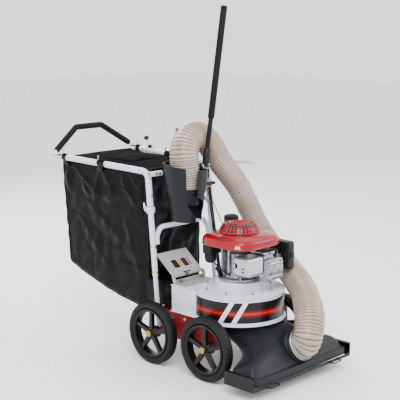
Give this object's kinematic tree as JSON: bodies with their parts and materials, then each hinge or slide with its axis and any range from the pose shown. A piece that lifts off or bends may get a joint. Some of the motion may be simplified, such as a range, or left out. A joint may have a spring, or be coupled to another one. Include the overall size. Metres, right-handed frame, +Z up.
{
  "type": "leaf vacuum mulcher",
  "caption": "Walk-behind leaf vacuum: wide nozzle hood, vertical-shaft engine over a shredding impeller, rear cloth bag on a tube frame, and a ribbed hand hose with nozzle and pole.",
  "frame": {"origin": "on the ground, at the middle of the whole machine's bounding box", "axes": "+Z up; -Y forwards, towards the nozzle; +Y back, towards the handle; +X to the machine's left, seen from behind the handle it is the operator's left"},
  "size_m": [0.816, 1.84, 1.9853],
  "materials": {
    "white_powder_coat": "white powder coat, semi-gloss",
    "red_powder_coat": "red powder coat, semi-gloss",
    "black_powder_coat": "black powder coat, satin",
    "red_engine_plastic": "glossy red moulding",
    "black_moulding": "textured black moulding",
    "black_tube": "black anodised tube",
    "wheel_plastic": "black moulding",
    "tyre_rubber": "black tread rubber",
    "cast_aluminium": "as-cast",
    "silencer_sheet": "aluminised sheet",
    "bright_steel": "bright zinc",
    "yellow_zinc": "yellow zinc plate",
    "grey_sheet": "grey painted sheet",
    "foam_sleeve": "black closed-cell foam",
    "hose_pvc": "translucent ribbed hose with a wire helix",
    "bag_cloth": "black coated woven cloth",
    "cord_black": "braided black cord"
  },
  "bodies": {
    "machine": {"air_cleaner": "black_moulding", "axle_front_left": "yellow_zinc", "axle_front_right": "yellow_zinc", "axle_rear": "yellow_zinc", "brace_tube": "black_powder_coat", "chassis_frame": "red_powder_coat", "clamp_collar_left": "white_powder_coat", "clamp_collar_right": "white_powder_coat", "collecting_bag": "bag_cloth", "crankcase": "cast_aluminium", "cylinder_block": "cast_aluminium", "door_hinge_pin": "yellow_zinc", "door_spring": "bright_steel", "engine_pedestal": "white_powder_coat", "fan_shroud": "red_engine_plastic", "fuel_tank": "black_moulding", "hand_nozzle": "black_moulding", "handle_bar": "white_powder_coat", "handle_grip": "foam_sleeve", "head_cover": "cast_aluminium", "hinge_bracket": "grey_sheet", "hose_arm": "white_powder_coat", "impeller_housing": "white_powder_coat", "lever_bracket": "black_powder_coat", "lower_upright_left": "white_powder_coat", "lower_upright_right": "white_powder_coat", "mid_hoop": "white_powder_coat", "muffler_shield": "silencer_sheet", "nozzle_frame": "black_powder_coat", "nozzle_hood": "black_moulding", "nozzle_skirt": "black_moulding", "pole_clamp": "bright_steel", "recoil_cover": "red_engine_plastic", "side_rail_left": "white_powder_coat", "side_rail_right": "white_powder_coat", "starter_rope": "cord_black", "suction_hose_arch": "hose_pvc", "suction_hose_end": "hose_pvc", "suction_hose_front": "hose_pvc", "suction_hose_side": "hose_pvc", "suction_hose_upper": "hose_pvc", "throttle_cable": "cord_black", "top_bar": "white_powder_coat"},
    "wheel_front_left": {"rim_front_left": "wheel_plastic", "tyre_front_left": "tyre_rubber"},
    "wheel_front_right": {"rim_front_right": "wheel_plastic", "tyre_front_right": "tyre_rubber"},
    "wheel_rear_left": {"rim_rear_left": "wheel_plastic", "tyre_rear_left": "tyre_rubber"},
    "wheel_rear_right": {"rim_rear_right": "wheel_plastic", "tyre_rear_right": "tyre_rubber"},
    "rotor": {"impeller": "black_powder_coat", "crankshaft": "bright_steel"},
    "door": {"discharge_door": "grey_sheet"},
    "long_pole": {"pole": "black_tube", "pole_grip": "foam_sleeve"},
    "tank_cap": {"fuel_cap": "black_moulding"},
    "lever_left": {"clamp_lever_left": "white_powder_coat"},
    "lever_right": {"clamp_lever_right": "white_powder_coat"},
    "throttle": {"throttle_lever": "yellow_zinc"}
  },
  "joints": [
    {"name": "wheel_front_left_spin", "type": "hinge", "parent": "machine", "child": "wheel_front_left", "pos_m": [0.323, -0.4332, 0.178], "axis": [1, 0, 0], "continuous": true},
    {"name": "wheel_rear_left_spin", "type": "hinge", "parent": "machine", "child": "wheel_rear_left", "pos_m": [0.323, -0.0172, 0.178], "axis": [1, 0, 0], "continuous": true},
    {"name": "wheel_front_right_spin", "type": "hinge", "parent": "machine", "child": "wheel_front_right", "pos_m": [-0.323, -0.4332, 0.178], "axis": [1, 0, 0], "continuous": true},
    {"name": "wheel_rear_right_spin", "type": "hinge", "parent": "machine", "child": "wheel_rear_right", "pos_m": [-0.323, -0.0172, 0.178], "axis": [1, 0, 0], "continuous": true},
    {"name": "rotor_spin", "type": "hinge", "parent": "machine", "child": "rotor", "pos_m": [0, -0.3752, 0.4], "axis": [0, 0, 1], "continuous": true},
    {"name": "door_hinge", "type": "hinge", "parent": "machine", "child": "door", "pos_m": [0, -0.0632, 0.484], "axis": [1, 0, 0], "range_deg": [0, 50], "stiffness_Nm_per_rad": 0.5, "springref_deg": -57.3},
    {"name": "pole_fold", "type": "hinge", "parent": "machine", "child": "long_pole", "pos_m": [-0.02, -0.1332, 1.108], "axis": [1, 0, 0], "range_deg": [0, 60]},
    {"name": "tank_cap_turn", "type": "hinge", "parent": "machine", "child": "tank_cap", "pos_m": [0.081, -0.2392, 0.782], "axis": [0, 0, 1], "range_deg": [0, 120]},
    {"name": "clamp_lever_left_swing", "type": "hinge", "parent": "machine", "child": "lever_left", "pos_m": [0.24, 0.12939, 0.855], "axis": [-1, 0, 0], "range_deg": [0, 80]},
    {"name": "clamp_lever_right_swing", "type": "hinge", "parent": "machine", "child": "lever_right", "pos_m": [-0.24, 0.12939, 0.855], "axis": [-1, 0, 0], "range_deg": [0, 80]},
    {"name": "throttle_swing", "type": "hinge", "parent": "machine", "child": "throttle", "pos_m": [0.28831, 0.6498, 1.11759], "axis": [1, 0, 0], "range_deg": [-20, 20]}
  ]
}
